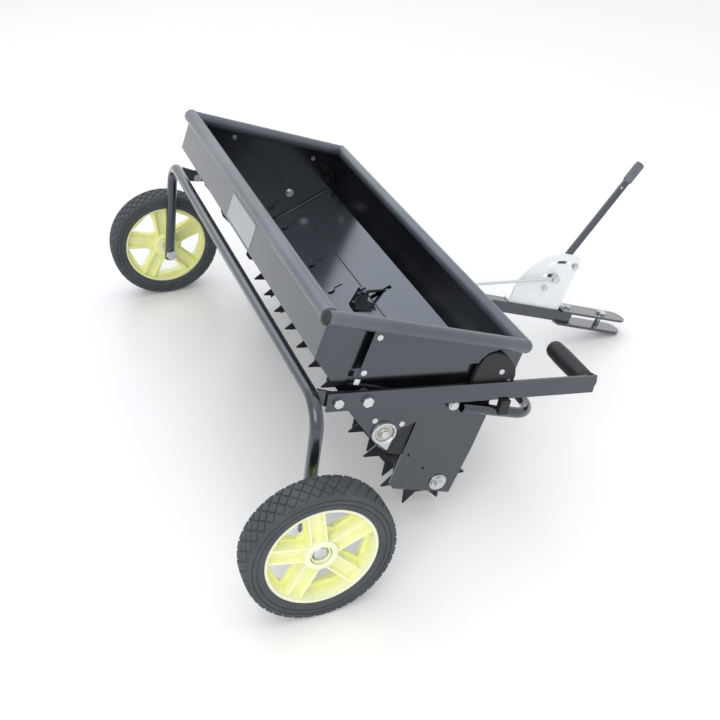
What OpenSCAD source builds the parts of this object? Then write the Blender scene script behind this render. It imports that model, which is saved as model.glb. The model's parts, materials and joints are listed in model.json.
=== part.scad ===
// Tow-behind spiker aerator with a drop-seeder hopper.
// X runs to the machine's right, Y forward to the hitch, Z up. Sizes in mm.
// Every sub-part is drawn in the machine's own frame, with the middle of the
// hopper rim at zero, and is then tipped nose-down onto its wheels and hitch.

/* [Node] */
// sub-part to draw, or all of them

/* [Hopper] */
// length between the inner faces of the two end walls
hopper_w = 876; // [860:1:890]
// depth over the front and rear walls
hopper_d = 372; // [368:1:376]
// rim axis down to the flat bottom
hopper_h = 222; // [218:0.5:226]
// sheet steel thickness
sheet = 1.5; // [1.3:0.1:1.7]
// outer diameter of the rolled rim
rim_d = 20; // [19:0.25:21]
// rim axis down to the bend in the front wall
front_wall_h = 95.5; // [93:0.5:98]
// rim axis down to the bend in the rear wall
rear_wall_h = 74; // [72:0.5:76]
// front edge of the flat bottom, forward of the rim middle
floor_front = 48.9; // [47:0.1:51]
// rear edge of the flat bottom, behind the rim middle
floor_back = 19.9; // [18:0.1:22]
// depth of the end skirt at its rear edge
skirt_h = 93; // [90:0.5:96]

/* [Side plates] */
// thickness of the side plates
plate_t = 4; // [3.5:0.25:4.5]
// rim axis down to the top edge of the side plates
plate_top = 112; // [110:0.5:113]
// agitator shaft, forward of the rim middle
agitator_y = -16; // [-18:0.5:-14]
// agitator shaft, below the rim axis
agitator_drop = 195; // [193:0.5:197]
// diameter of the agitator shaft
agitator_d = 12.7; // [12:0.1:13.5]
// star shaft, forward of the rim middle
star_y = 130; // [128:0.5:132]
// star shaft, below the rim axis
star_drop = 287; // [285:0.5:289]
// diameter of the star shaft
star_shaft_d = 16; // [15:0.25:17]

/* [Star wheels] */
// diameter over the tine tips
star_d = 180; // [174:1:181]
// diameter of the solid middle of a star
star_root_d = 124; // [118:1:130]
// thickness of a star
star_t = 3; // [2.5:0.25:3.5]
// last star to the end wall
star_inset = 47; // [45:0.5:50]
// width of a tine at its root
tine_w = 30; // [27:0.5:34]

/* [Lift and wheels] */
// lift pivot, forward of the rim middle
pivot_y = -80; // [-82:0.5:-78]
// lift pivot, below the rim axis
pivot_drop = 128.2; // [127:0.2:130]
// diameter of the pivot bolts
pivot_d = 12; // [11:0.25:13]
// rise of the lift bar at rest, degrees
bar_rise = 10.8; // [10.4:0.1:11.2]
// width of the lift bar
bar_w = 34; // [32:0.5:35]
// thickness of the lift bar
bar_t = 5; // [4.5:0.25:5.5]
// pivot to the front end of the lift bar
bar_reach = 435; // [425:1:445]
// diameter of the round grip
grip_d = 30; // [28:0.5:32]
// length of the round grip
grip_len = 86; // [80:1:92]
// diameter of the wheel frame tube
frame_d = 22.2; // [21.4:0.2:23]
// pivot to the cross tube, along the bar
frame_back = 96.6; // [94:0.2:99]
// cross tube above the middle of the bar
frame_above = 16.5; // [15:0.5:18]
// lift bar to the middle of a leg
leg_gap = 35; // [32:0.5:38]
// bend radius of the wheel frame tube
frame_bend = 48; // [46:0.5:50]
// axle, forward of the rim middle
wheel_y = -126.2; // [-130:0.5:-122]
// axle, below the rim axis
wheel_drop = 347.9; // [345:0.5:351]
// outer diameter of a tyre
tyre_d = 254; // [250:1:256]
// width of a tyre
tyre_w = 54; // [52:0.5:56]
// outer diameter of the plastic wheel
rim_wheel_d = 190; // [186:1:192]
// wall of the plastic wheel's rim
wheel_wall = 5; // [4.5:0.25:5.5]
// width of a wheel spoke
spoke_w = 28; // [26:0.5:30]
// face of the wheel's hub, out from the middle of the tyre
hub_face = 20; // [19:0.5:21]
// seat of the axle nut, inside the hub
nut_seat = 7; // [6.5:0.25:8]
// diameter of the axle bolts
axle_d = 12.7; // [12:0.1:13.5]

/* [Towing frame] */
// diameter of the front tube
front_d = 19; // [18:0.25:20]
// front tube and tongue, below the rim axis
front_drop = 125; // [124:0.25:126]
// cross run of the front tube, forward of the rim middle
front_y = 259; // [255:0.5:263]
// bend radius of the front tube
front_bend = 45; // [42:0.5:48]
// width of the square tongue
tongue_w = 25.4; // [24.4:0.2:26.4]
// front end of the tongue
tongue_end = 632; // [628:1:636]
// thickness of a hitch strap
strap_t = 5; // [4.5:0.25:5.5]
// width of a hitch strap
strap_w = 44; // [42:0.5:46]
// front tip of the hitch straps
strap_end = 785; // [780:1:790]
// hitch pin, forward of the rim middle
hitch_y = 719; // [715:1:723]
// diameter of the hitch pin
hitch_d = 12.7; // [12:0.1:13.5]

/* [Flow control] */
// thickness of the quadrant plate
quadrant_t = 3; // [2.5:0.25:3.5]
// radius of the quadrant's round top
quadrant_r = 102; // [100:0.5:104]
// radius of the slot that the stop slides in
stop_r = 82; // [81:0.5:83]
// thickness of the flow lever
lever_t = 5; // [4.5:0.25:5.5]
// width of the flow lever
lever_w = 16; // [15:0.5:17]
// pivot to the top of the flow lever
lever_len = 328; // [322:1:334]
// lean of the flow lever at rest, degrees
lever_lean = 72; // [71:0.2:73]
// lever pivot to the rod pin
rod_arm = 30; // [29:0.5:31]
// diameter of the flow rod
rod_d = 6; // [5.5:0.25:6.5]
// travel of the shutter
shutter_travel = 22.5; // [20:0.5:23]

/* [Hidden] */
$fn = 48;
paint = "#34373b";
zinc = "#c3c6c8";
rubber = "#26282a";
lime = "#e3e98a";
// running clearance of a shaft in its hole, on the radius
fit = 0.05;
// gap between two pieces that pass each other
slack = 0.3;

// hopper points, in the plane of Y and Z
rim_r = rim_d / 2;
end_x = hopper_w / 2;
plate_x = end_x + sheet;
plate_out = plate_x + plate_t;
rim_x = end_x + rim_r / 2;
rim_y = hopper_d / 2 - 0.6 * rim_r;
skirt_x = rim_x + rim_r - sheet;
front_face = hopper_d / 2;
front_low = floor_front;
rear_low = -floor_back;
front_slope = atan((hopper_h - front_wall_h) / (front_face - front_low));
rear_slope = atan((hopper_h - rear_wall_h) / (front_face + rear_low));
wall_top = -0.75 * rim_r;
hopper_path = [
  [front_face, wall_top], [front_face, -front_wall_h],
  [front_low, -hopper_h], [rear_low, -hopper_h],
  [-front_face, -rear_wall_h], [-front_face, wall_top]
];
end_outline = [
  [front_face, wall_top], [front_face, -front_wall_h],
  [front_low, -hopper_h], [rear_low, -hopper_h],
  [sheet - front_face, -rear_wall_h - sheet * tan(rear_slope)],
  [sheet - front_face, wall_top]
];

// shaft, pivot and axle centres
agitator = [agitator_y, -agitator_drop];
star = [star_y, -star_drop];
pivot = [pivot_y, -pivot_drop];
axle = [wheel_y, -wheel_drop];
star_pitch = (end_x - star_inset) / 5;
star_last = 5 * star_pitch;
hole_back = [-79, 51];
hole_front = [-40, 26];
plate_holes = [star + hole_back, star + hole_front];
cup_r = 22;
cup_tip = [19, -34];
star_phase = 32;
last_star_phase = 38;

// lift frame, sideways stack and cross tube
arm_x = plate_out + 6.5;
arm_t = 5;
bar_x = arm_x + arm_t;
bar_dir = [cos(bar_rise), sin(bar_rise)];
bar_up = [-sin(bar_rise), cos(bar_rise)];
cross = pivot - frame_back * bar_dir + frame_above * bar_up;
arm_bolt = pivot - 50 * bar_dir;
leg_len = norm(axle - cross);
leg_lean = atan2(axle[0] - cross[0], cross[1] - axle[1]);
frame_r = frame_d / 2;
leg_x = bar_x + bar_t + leg_gap;
// how far the cross tube has bent down where the arms hold it
bend_in = max(0, bar_x - leg_x + frame_bend);
bend_drop = frame_bend - sqrt(frame_bend * frame_bend - bend_in * bend_in);
hub_in = leg_x + frame_r + 23.6;
wheel_x = hub_in + 28;
hub_out = wheel_x + nut_seat;
wheel_turn = 61;

// towing frame
front_x = plate_out + front_d / 2 + slack;
front_bolt = [90, -front_drop];
tongue_top = tongue_w / 2 - front_drop;
tongue_low = -tongue_w / 2 - front_drop;
strap_start = 596;
seat_h = 1;
strap_low = tongue_low - strap_t;
hitch_bolt_ys = [606, 622];
quadrant_bolt_ys = [482, 574];
quadrant_bolt_x = -3;

// flow control
plate_near = 8;
plate_far = plate_near - quadrant_t;
lever_x = plate_far - 0.5 - lever_t;
quadrant_c = [558, tongue_top + 29.3];
lever_dir = [cos(lever_lean), sin(lever_lean)];
rod_pin_at = [539, tongue_top + 74.3];
lever_pivot = rod_pin_at - rod_arm * lever_dir;
rod_x = 17;
rod_r = rod_d / 2;
rod_back = [105, -140];
rod_len = norm(rod_pin_at - rod_back);
rod_rise = atan2(rod_pin_at[1] - rod_back[1], rod_pin_at[0] - rod_back[0]);
rod_pin_r = 3.5;
stop_lean = 72;
stop_at = quadrant_c + stop_r * [cos(stop_lean), sin(stop_lean)];
shutter_low = sheet + slack;
shutter_top = 94;
shutter_end = 155.5;
stud_s = 140;
stud_xs = [for (share = [-0.868, -0.434, -0.16, 0.297, 0.594, 0.868]) share * end_x];
rod_local = [
  (rod_back[0] - front_face) * cos(front_slope) + (rod_back[1] + front_wall_h) * sin(front_slope),
  (rod_back[1] + front_wall_h) * cos(front_slope) - (rod_back[0] - front_face) * sin(front_slope)
];

// fasteners in the hopper ends
corner_bolts = [[front_face - 29, -52], [front_face - 15, -76], [front_face - 8, -62]];
skirt_front = front_face - 61;
skirt_back = 77 - front_face;
skirt_rivets = [[skirt_back + 12, -18], [skirt_back + 8, 10 - skirt_h]];
wall_rivets = [[front_face - 67, -33], [108 - front_face, -25]];
bearing_rivets = [[agitator_y - 25, 21 - agitator_drop], [agitator_y + 27, 20 - agitator_drop]];

// chain drive on the left
chain_x = -(plate_out + 15);
sprocket_r = 27.7;

// resting pose: wheels and the lower hitch strap on the floor
rest_a = strap_end - wheel_y;
rest_b = strap_low + wheel_drop;
rest_tilt = atan2(rest_b, rest_a) + asin(tyre_d / 2 / norm([rest_a, rest_b]));
floor_z = -wheel_y * sin(rest_tilt) - wheel_drop * cos(rest_tilt) - tyre_d / 2;
rest_back = wheel_y * cos(rest_tilt) - wheel_drop * sin(rest_tilt) - tyre_d / 2;
strap_high = tongue_top + strap_t;
rest_front = strap_end * cos(rest_tilt) + strap_high * sin(rest_tilt);
rest_mid = (rest_front + rest_back) / 2;

function unit(v) = v / norm(v);
function left_of(v) = [-v[1], v[0]];
// corner i of a bent sheet, moved t to the left of its run
function moved(p, i, t) =
  let (a = i > 0 ? unit(p[i] - p[i - 1]) : unit(p[i + 1] - p[i]))
  let (b = i < len(p) - 1 ? unit(p[i + 1] - p[i]) : a)
  let (n = unit(left_of(a) + left_of(b)))
  p[i] + n * t / (n * left_of(a));
// outline of a sheet of thickness t that follows the path p
function bent(p, t) = concat(p, [for (i = [len(p) - 1:-1:0]) moved(p, i, t)]);

// tips a piece from the machine frame into the resting pose
module rested() {
  translate([0, -rest_mid, -floor_z]) rotate([-rest_tilt, 0, 0]) children();
}
// a flat shape drawn in Y and Z, made t thick from x0 to the right
module across(x0, t) {
  translate([x0, 0, 0]) rotate([90, 0, 90]) linear_extrude(t) children();
}
// a round bar along X
module bar_along(x0, x1, p, r) {
  translate([x0, p[0], p[1]]) rotate([0, 90, 0]) cylinder(h = x1 - x0, r = r);
}
// a hexagon along X, r to its corners
module hex_along(x0, x1, p, r) {
  translate([x0, p[0], p[1]]) rotate([0, 90, 0]) cylinder(h = x1 - x0, r = r, $fn = 6);
}
// a round bar standing up
module bar_up_at(z0, z1, p, r) {
  translate([p[0], p[1], z0]) cylinder(h = z1 - z0, r = r);
}
module hex_up_at(z0, z1, p, r) {
  translate([p[0], p[1], z0]) cylinder(h = z1 - z0, r = r, $fn = 6);
}
// the piece and its mirror image on the other side
module both_sides() {
  children();
  mirror([1, 0, 0]) children();
}
// local frame of the front slope: Y up the slope, Z into the hopper
module on_slope() {
  translate([0, front_face, -front_wall_h]) rotate([front_slope, 0, 0]) children();
}
// local frame of the lift bar: Y along the bar, Z across it
module on_bar() {
  translate([0, pivot[0], pivot[1]]) rotate([bar_rise, 0, 0]) children();
}
// local frame of the flow lever: Y along the lever from its pivot
module on_lever() {
  translate([0, lever_pivot[0], lever_pivot[1]]) rotate([lever_lean, 0, 0]) children();
}

// bent sheet trough with its front and rear rolled rims
module hopper_body() {
  color(paint) difference() {
    union() {
      across(-end_x, hopper_w) polygon(bent(hopper_path, -sheet));
      bar_along(-rim_x, rim_x, [rim_y, 0], rim_r);
      both_sides() translate([rim_x, rim_y, 0]) sphere(r = rim_r);
      bar_along(3 - rim_x, rim_x - 3, [-rim_y, 0], rim_r);
      both_sides() rear_wrap();
    }
    bar_along(-rim_x, rim_x, [rim_y, 0], rim_r - sheet);
    bar_along(-rim_x - rim_r, rim_x + rim_r, [-rim_y, 0], rim_r - sheet);
    both_sides() translate([rim_x, -rim_y - 20, 0]) rotate([-90, 0, 0]) cylinder(h = 60, r = rim_r + 0.1);
    on_slope() translate([rod_x - 6, -86, -5]) cube([12, 50, 12]);
    for (i = [-5:5]) {
      on_slope() translate([i * star_pitch, -168, -5]) cylinder(h = 12, r = 6);
    }
    for (x = stud_xs) {
      on_slope() translate([x, -stud_s, -5]) cylinder(h = 12, r = 4 + fit);
    }
  }
}
// rear wall carried past the end wall and folded onto it
module rear_wrap() {
  translate([end_x - 1, -front_face, -rear_wall_h]) {
    cube([2 * sheet + 1, sheet, rear_wall_h - 0.75 * rim_r]);
  }
  across(plate_x, sheet) polygon([
    [-front_face, -12], [-front_face + 66, -12], [-front_face + 66, -122],
    [-front_face + (122 - rear_wall_h) / tan(rear_slope), -122],
    [-front_face, -rear_wall_h]
  ]);
}

// end wall, rolled end rim and outer skirt
module end_panel() {
  difference() {
    union() {
      difference() {
        across(end_x, sheet) polygon(end_outline);
        bar_along(end_x - 5, plate_x + 5, [-rim_y, 0], rim_r + 0.1);
      }
      translate([rim_x, -rim_y - rim_r, 0]) rotate([-90, 0, 0]) cylinder(h = 2 * rim_y + rim_r, r = rim_r);
      across(skirt_x, sheet) polygon([
        [skirt_back + 1, -1], [skirt_back, -skirt_h], [skirt_front - 26, 54 - skirt_h],
        [skirt_front - 24, -31], [skirt_front - 14, -18], [skirt_front, -11], [skirt_front, -1]
      ]);
    }
    translate([rim_x, -rim_y - rim_r - 1, 0]) rotate([-90, 0, 0]) {
      cylinder(h = 2 * rim_y + rim_r + 1, r = rim_r - sheet);
    }
    bar_along(end_x - 20, rim_x + 20, [rim_y, 0], rim_r + 0.1);
    bar_along(end_x - 5, plate_x + 1, agitator, agitator_d / 2 + 2);
    bar_along(end_x - 5, plate_x + 1, pivot, pivot_d / 2 + fit);
    bar_along(end_x - 5, plate_x + 1, front_bolt, 5 + fit);
    for (p = corner_bolts) bar_along(end_x - 5, plate_x + 1, p, 4 + fit);
    for (p = concat(wall_rivets, bearing_rivets)) bar_along(end_x - 5, plate_x + 1, p, 2.5 + fit);
    for (p = skirt_rivets) bar_along(skirt_x - 5, skirt_x + 5, p, 2.5 + fit);
  }
}
module end_panel_right() {
  color(paint) end_panel();
}
module end_panel_left() {
  color(paint) mirror([1, 0, 0]) end_panel();
}

// plate that carries the shafts below the hopper
module side_plate() {
  difference() {
    across(plate_x, plate_t) polygon([
      [-112, -plate_top], [-112, -plate_top - 36],
      [agitator_y - 15, agitator[1] - 17], [agitator_y + 1, agitator[1] - 30],
      [agitator_y + 21, agitator[1] - 37], [agitator_y + 25, agitator[1] + 7],
      [star_y - 93, star[1] + 118], [star_y - 93, star[1] - 12],
      [star_y - 82, star[1] - 21], [star_y + 33, star[1] - 21],
      [star_y + 38, star[1] + 71], [star_y + 38, star[1] + 154],
      [star_y + 30, -plate_top]
    ]);
    bar_along(plate_x - 1, plate_out + 1, agitator, agitator_d / 2 + 2);
    bar_along(plate_x - 1, plate_out + 1, star, star_shaft_d / 2 + 2 + fit);
    bar_along(plate_x - 1, plate_out + 1, pivot, pivot_d / 2 + fit);
    bar_along(plate_x - 1, plate_out + 1, front_bolt, 5 + fit);
    for (p = bearing_rivets) bar_along(plate_x - 1, plate_out + 1, p, 2.5 + fit);
    for (p = plate_holes) bar_along(plate_x - 1, plate_out + 1, p, 3.5);
  }
}
module side_plate_right() {
  color(paint) side_plate();
}
module side_plate_left() {
  color(paint) mirror([1, 0, 0]) side_plate();
}

// pressed drop-shaped bearing housings of the agitator shaft
module agitator_bearings() {
  tip = agitator + cup_tip;
  turn = acos(cup_r / norm(cup_tip));
  aim = atan2(tip[1] - agitator[1], tip[0] - agitator[0]);
  color(zinc) both_sides() difference() {
    union() {
      bar_along(plate_out, plate_out + 2, agitator, cup_r);
      across(plate_out, 2) polygon([
        tip, agitator + cup_r * [cos(aim + turn), sin(aim + turn)],
        agitator + cup_r * [cos(aim - turn), sin(aim - turn)]
      ]);
      bar_along(plate_out, plate_out + 6, agitator, 15);
    }
    bar_along(plate_x, plate_out + 7, agitator, agitator_d / 2 + fit);
  }
}

// flanged bushings of the star shaft
module star_bushings() {
  color(zinc) both_sides() difference() {
    union() {
      bar_along(plate_x, plate_out + 3, star, star_shaft_d / 2 + 2);
      bar_along(plate_out, plate_out + 3, star, 16);
    }
    bar_along(plate_x - 1, plate_out + 4, star, star_shaft_d / 2 + fit);
  }
}

// bent tube from one side plate round the front to the other
module front_tube_run(r) {
  bar_along(front_bend - front_x, front_x - front_bend, [front_y, 0], r);
  both_sides() {
    translate([front_x - front_bend, front_y - front_bend, 0]) {
      rotate_extrude(angle = 90) translate([front_bend, 0]) circle(r = r);
    }
    translate([front_x, 104, 0]) rotate([-90, 0, 0]) {
      cylinder(h = front_y - front_bend - 104, r = r);
    }
  }
}
module front_tube() {
  color(paint) translate([0, 0, -front_drop]) difference() {
    union() {
      difference() {
        front_tube_run(front_d / 2);
        front_tube_run(front_d / 2 - 1.8);
      }
      both_sides() {
        translate([plate_out, front_bolt[0], -12]) cube([6.5, 28, 24]);
        bar_along(plate_out, plate_out + 6.5, [front_bolt[0], 0], 12);
      }
    }
    both_sides() bar_along(plate_out - 1, plate_out + 8, [front_bolt[0], 0], 5 + fit);
  }
}

// square drawbar tube with the front tube through it
module tongue() {
  half = tongue_w / 2;
  color(paint) difference() {
    translate([-half, front_y - 23, tongue_low]) cube([tongue_w, tongue_end - front_y + 23, tongue_w]);
    translate([2 - half, front_y - 24, tongue_low + 2]) {
      cube([tongue_w - 4, tongue_end - front_y + 25, tongue_w - 4]);
    }
    bar_along(-half - 1, half + 1, [front_y, -front_drop], front_d / 2 + fit);
    for (y = hitch_bolt_ys) bar_up_at(tongue_low - 1, tongue_top + 1, [0, y], 4 + fit);
    for (y = quadrant_bolt_ys) {
      bar_up_at(tongue_low - 1, tongue_top + 1, [quadrant_bolt_x, y], 3 + fit);
    }
  }
}

// flat hitch straps above and below the tongue
module hitch_strap(z0) {
  half = strap_w / 2;
  difference() {
    union() {
      translate([-half, strap_start, z0]) cube([strap_w, strap_end - half - strap_start, strap_t]);
      bar_up_at(z0, z0 + strap_t, [0, strap_end - half], half);
    }
    bar_up_at(z0 - 1, z0 + strap_t + 1, [0, hitch_y], hitch_d / 2 + fit);
    for (y = hitch_bolt_ys) bar_up_at(z0 - 1, z0 + strap_t + 1, [0, y], 4 + fit);
  }
}
module hitch_strap_upper() {
  color(paint) hitch_strap(tongue_top);
}
// the lower strap has a raised seat in front of the tongue
module hitch_strap_lower() {
  half = strap_w / 2;
  color(paint) {
    hitch_strap(strap_low);
    difference() {
      union() {
        translate([-half, tongue_end + 1, tongue_low - 1]) {
          cube([strap_w, strap_end - half - tongue_end - 1, 1 + seat_h]);
        }
        bar_up_at(tongue_low - 1, tongue_low + seat_h, [0, strap_end - half], half);
      }
      bar_up_at(strap_low - 1, tongue_low + 5, [0, hitch_y], hitch_d / 2 + fit);
    }
  }
}
// drawbar pin that lifts out of the straps
module hitch_pin() {
  color(zinc) {
    bar_up_at(strap_low - 4, strap_high + 1, [0, hitch_y], hitch_d / 2);
    bar_up_at(strap_high, strap_high + 6, [0, hitch_y], hitch_d / 2 + 5);
  }
}
// bolts that hold the straps to the tongue
module hitch_bolts() {
  color(zinc) for (y = hitch_bolt_ys) {
    bar_up_at(strap_low - 1, strap_high + 1, [0, y], 4);
    hex_up_at(strap_high, strap_high + 5, [0, y], 7.4);
    hex_up_at(strap_low - 5, strap_low, [0, y], 7.4);
  }
}

// upright slotted plate on the tongue
module flow_quadrant() {
  low = tongue_top;
  color(zinc) difference() {
    union() {
      intersection() {
        bar_along(plate_far, plate_near, quadrant_c, quadrant_r);
        translate([0, quadrant_c[0] - 110, quadrant_c[1]]) cube([20, 144, 120]);
      }
      translate([plate_far, quadrant_c[0] - quadrant_r, low]) {
        cube([quadrant_t, quadrant_r + 34, quadrant_c[1] - low]);
      }
      translate([-tongue_w / 2, quadrant_c[0] - quadrant_r, low]) {
        cube([tongue_w / 2 + plate_near, quadrant_r + 34, quadrant_t]);
      }
    }
    slot_round(quadrant_c, stop_r, 68, 118, 3.5);
    slot_round(lever_pivot, rod_arm, lever_lean - 2, lever_lean + 42, rod_pin_r + 0.5);
    bar_along(0, 20, lever_pivot, 4 + fit);
    for (y = quadrant_bolt_ys) {
      bar_up_at(low - 1, low + quadrant_t + 1, [quadrant_bolt_x, y], 3 + fit);
    }
  }
}
// round-ended arc slot through the quadrant plate
module slot_round(c, r, a0, a1, half) {
  translate([plate_far - 1, c[0], c[1]]) rotate([90, 0, 90]) {
    rotate([0, 0, a0]) rotate_extrude(angle = a1 - a0) {
      translate([r - half, 0]) square([2 * half, quadrant_t + 2]);
    }
  }
  for (a = [a0, a1]) bar_along(plate_far - 1, plate_near + 1, c + r * [cos(a), sin(a)], half);
}
// bolts of the quadrant and the pivot bolt of the flow lever
module quadrant_bolts() {
  color(zinc) {
    for (y = quadrant_bolt_ys) {
      bar_up_at(tongue_low - 1, tongue_top + quadrant_t + 1, [quadrant_bolt_x, y], 3);
      hex_up_at(tongue_top + quadrant_t, tongue_top + quadrant_t + 4, [quadrant_bolt_x, y], 5.6);
      hex_up_at(tongue_low - 4, tongue_low, [quadrant_bolt_x, y], 5.6);
    }
    bar_along(lever_x - 1, plate_near + 1, lever_pivot, 4);
    bar_along(lever_x - 4, lever_x - slack, lever_pivot, 8);
    hex_along(plate_near, plate_near + 5, lever_pivot, 7);
  }
}
// adjustable stop in the upper slot
module stop_bolt() {
  color(zinc) {
    bar_along(plate_far - 5, plate_near + 5, stop_at, 3);
    bar_along(plate_near + 0.1, plate_near + 1.6, stop_at, 8);
    hex_along(plate_near + 1.6, plate_near + 6, stop_at, 6.4);
    hex_along(plate_far - 4.4, plate_far - 0.1, stop_at, 6);
  }
}

// flat steel flow lever
module flow_lever() {
  half = lever_w / 2;
  color(paint) difference() {
    union() {
      on_lever() translate([lever_x, 0, -half]) cube([lever_t, lever_len - 14, lever_w]);
      on_lever() bar_along(lever_x, lever_x + lever_t, [0, 0], half);
    }
    bar_along(lever_x - 1, plate_far, lever_pivot, 4 + fit);
    bar_along(lever_x - 1, plate_far, rod_pin_at, rod_pin_r + fit);
    on_lever() bar_along(lever_x - 1, plate_far, [lever_len - 64, 0], 3.5);
  }
}
// moulded grip pushed over the top of the lever
module flow_grip() {
  half = lever_w / 2 + 2;
  low = lever_len - 48;
  mid = lever_x + lever_t / 2;
  color(rubber) on_lever() difference() {
    union() {
      translate([mid - 5, low, -half]) cube([10, 48 - half, 2 * half]);
      bar_along(mid - 5, mid + 5, [lever_len - half, 0], half);
    }
    translate([lever_x, low - 1, -lever_w / 2]) cube([lever_t, 35, lever_w]);
  }
}
// pin that joins the flow rod to the lever
module rod_pin() {
  color(zinc) {
    bar_along(lever_x - 1, rod_x + 5, rod_pin_at, rod_pin_r);
    bar_along(lever_x - 3, lever_x, rod_pin_at, 6);
    bar_along(rod_x + 4.4, rod_x + 7.4, rod_pin_at, 8);
  }
}
// rod from the lever back to the shutter
module flow_rod() {
  eye = 9.5;
  color(zinc) translate([rod_x, rod_back[0], rod_back[1]]) rotate([rod_rise, 0, 0]) difference() {
    union() {
      rotate([-90, 0, 0]) cylinder(h = rod_len, r = rod_r);
      bar_along(-4, 4, [0, 0], 6);
      bar_along(-4, 4, [rod_len, 0], eye);
    }
    bar_along(-6, 6, [0, 0], 3 + fit);
    bar_along(-6, 6, [rod_len, 0], rod_pin_r + 2.4);
  }
}
// sliding metering plate on the front slope
module shutter() {
  color(zinc) on_slope() difference() {
    union() {
      translate([8 - end_x, -shutter_end, shutter_low]) {
        cube([hopper_w - 16, shutter_end - shutter_top, sheet]);
      }
      for (x = [rod_x - 9, rod_x + 5]) {
        across(x, 4) polygon([
          [-126, shutter_low], [-shutter_top - 1, shutter_low],
          [rod_local[0] + 6, rod_local[1] - 2], [rod_local[0] + 6, rod_local[1] + 6],
          [rod_local[0] - 6, rod_local[1] + 6]
        ]);
      }
    }
    bar_along(rod_x - 12, rod_x + 12, rod_local, 3 + fit);
    for (x = stud_xs) {
      translate([x - 4.4, -stud_s, 0]) cube([8.8, shutter_travel, 12]);
      translate([x, -stud_s, 0]) cylinder(h = 12, r = 4.4);
      translate([x, shutter_travel - stud_s, 0]) cylinder(h = 12, r = 4.4);
    }
  }
}
// pin of the flow rod in the shutter's lugs
module shutter_pin() {
  color(zinc) on_slope() {
    bar_along(rod_x - 11, rod_x + 11, rod_local, 3);
    bar_along(rod_x - 12, rod_x - 9, rod_local, 5);
    bar_along(rod_x + 9, rod_x + 12, rod_local, 5);
  }
}
// headed studs that hold the shutter down on the slope
module shutter_studs() {
  top = shutter_low + sheet + slack;
  color(zinc) on_slope() for (x = stud_xs) {
    translate([x, -stud_s, -3]) cylinder(h = top + 4, r = 4);
    translate([x, -stud_s, top]) cylinder(h = 3, r = 8);
    translate([x, -stud_s, -5]) cylinder(h = 5, r = 7.5, $fn = 6);
  }
}

// rivets of the end panels and side plates
module hopper_rivets() {
  color(zinc) both_sides() {
    for (p = skirt_rivets) {
      bar_along(skirt_x - 1.5, skirt_x + sheet + 0.8, p, 2.5);
      bar_along(skirt_x + sheet, skirt_x + sheet + 1.2, p, 5);
      bar_along(skirt_x - 1.5, skirt_x, p, 4);
    }
    for (p = wall_rivets) {
      bar_along(end_x - 1.5, plate_x + 1, p, 2.5);
      bar_along(plate_x, plate_x + 1.5, p, 5);
      bar_along(end_x - 1.5, end_x, p, 5);
    }
    for (p = bearing_rivets) {
      bar_along(end_x - 1, plate_out + 1, p, 2.5);
      bar_along(plate_out, plate_out + 1.5, p, 5);
      bar_along(end_x - 1.5, end_x, p, 4.5);
    }
  }
}
// bolts of the front corners and of the front tube
module frame_bolts() {
  color(zinc) both_sides() {
    for (p = corner_bolts) {
      bar_along(end_x - 5, plate_x + 4, p, 4);
      hex_along(plate_x, plate_x + 5, p, 7);
      hex_along(end_x - 5, end_x, p, 7);
    }
    bar_along(end_x - 6, plate_out + 7, front_bolt, 5);
    bar_along(plate_out + 6.5, plate_out + 8, front_bolt, 10);
    hex_along(plate_out + 8, plate_out + 11, front_bolt, 8);
    bar_along(end_x - 1.5, end_x, front_bolt, 10);
    hex_along(end_x - 6.5, end_x - 1.5, front_bolt, 8);
  }
}
// rubber block on the front tube that the lift bar rests on
module lever_rest() {
  color(rubber) difference() {
    on_bar() translate([front_x + 1.3, 248, -bar_w / 2 - 28]) cube([12, 18, 28 - slack]);
    translate([front_x, 0, -front_drop]) rotate([-90, 0, 0]) cylinder(h = 2 * front_y, r = front_d / 2 + fit);
  }
}

// roller chain as one still loop
module drive_chain() {
  far = star - agitator;
  aim = atan2(far[1], far[0]);
  color(zinc) difference() {
    chain_loop(sprocket_r + 6.3, chain_x - 4, 8, far, aim);
    chain_loop(sprocket_r + slack, chain_x - 5, 10, far, aim);
  }
}
module chain_loop(r, x0, t, far, aim) {
  bar_along(x0, x0 + t, agitator, r);
  bar_along(x0, x0 + t, star, r);
  translate([x0, agitator[0], agitator[1]]) rotate([aim, 0, 0]) {
    translate([0, 0, -r]) cube([t, norm(far), 2 * r]);
  }
}
// toothed chain wheel, teeth cut as round gaps
module sprocket(c, bore) {
  teeth = 14;
  difference() {
    bar_along(chain_x - 2.5, chain_x + 2.5, c, sprocket_r);
    bar_along(chain_x - 4, chain_x + 4, c, bore / 2 + fit);
    for (i = [0:teeth - 1]) {
      bar_along(chain_x - 4, chain_x + 4,
        c + (sprocket_r + 1.2) * [cos(i * 360 / teeth), sin(i * 360 / teeth)], 3.9);
    }
  }
}
module star_sprocket() {
  color(zinc) sprocket(star, star_shaft_d);
}
module agitator_sprocket() {
  color(zinc) sprocket(agitator, agitator_d);
}

// bolts that the lift frame turns on
module pivot_bolts() {
  color(zinc) both_sides() {
    bar_along(end_x - 6, bar_x + bar_t + 6, pivot, pivot_d / 2);
    hex_along(end_x - 6, end_x, pivot, 10);
    bar_along(plate_out, arm_x - slack, pivot, 11);
    hex_along(bar_x + bar_t + slack, bar_x + bar_t + 7, pivot, 10);
  }
}

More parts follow.
